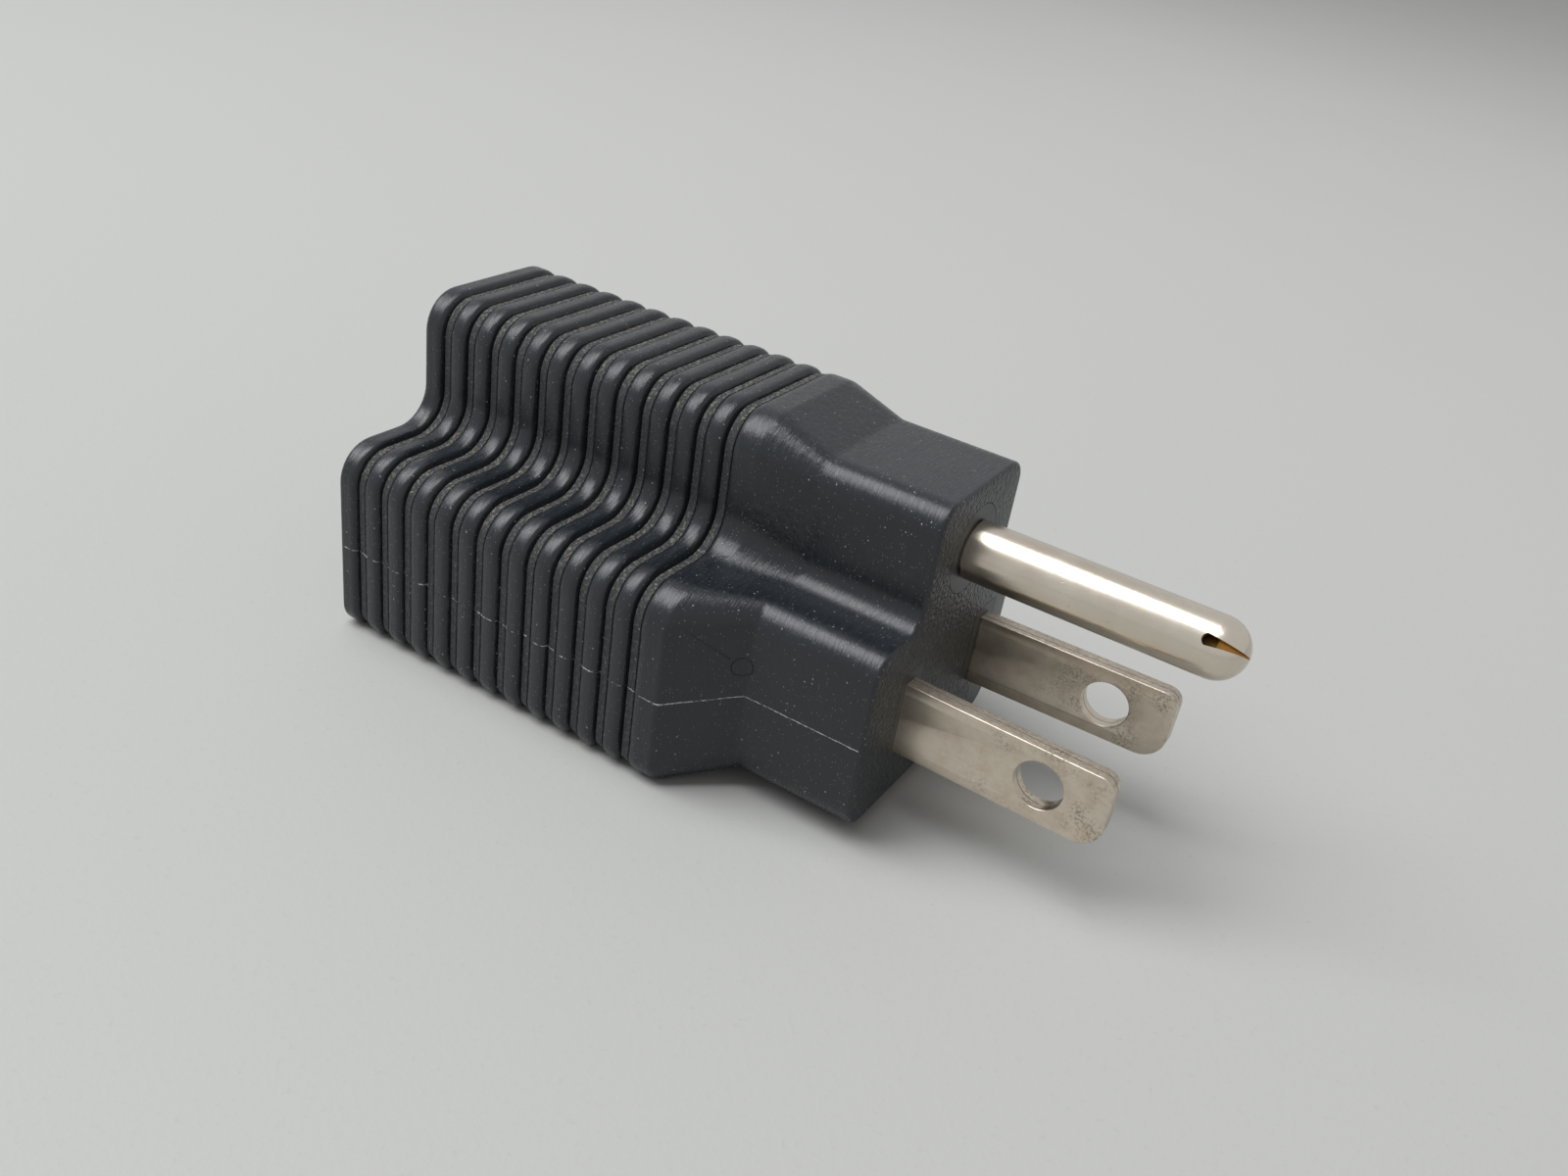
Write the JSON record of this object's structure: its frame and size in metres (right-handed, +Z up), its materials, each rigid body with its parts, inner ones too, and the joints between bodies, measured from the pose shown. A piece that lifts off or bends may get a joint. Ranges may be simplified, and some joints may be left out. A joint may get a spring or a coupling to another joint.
{
  "type": "nema plug adapter",
  "caption": "Black moulded plug adapter with a ribbed humped grip, two flat blades and a round ground pin at one end, and a T-slot outlet at the other.",
  "frame": {"origin": "on the flat underside, under the middle of the overall length and of the lower body's width", "axes": "+X along the prongs, from the outlet face towards the plug face; +Z up, from the blades towards the ground pin; +Y towards the line blade"},
  "size_m": [0.0702, 0.033, 0.028],
  "materials": {
    "grip_pvc": "semi-gloss moulded flexible PVC",
    "insert_pvc": "smooth moulded rigid PVC",
    "outlet_plastic": "smooth moulded nylon",
    "nickel_plate": "nickel-plated brass, stained",
    "bright_nickel_plate": "bright nickel-plated brass",
    "contact_brass": "rolled brass",
    "rivet_brass": "headed brass"
  },
  "bodies": {
    "root": {"back_cover": "outlet_plastic", "ground_contact": "contact_brass", "ground_front_rivet": "rivet_brass", "ground_pin": "bright_nickel_plate", "ground_rear_rivet": "rivet_brass", "ground_strap": "contact_brass", "jacket": "grip_pvc", "line_blade": "nickel_plate", "line_contact": "contact_brass", "line_front_rivet": "rivet_brass", "line_rear_rivet": "rivet_brass", "line_strap": "contact_brass", "neutral_blade": "nickel_plate", "neutral_contact": "contact_brass", "neutral_front_rivet": "rivet_brass", "neutral_rear_rivet": "rivet_brass", "neutral_strap": "contact_brass", "outlet_block": "outlet_plastic", "plug_insert": "insert_pvc"}
  },
  "joints": []
}
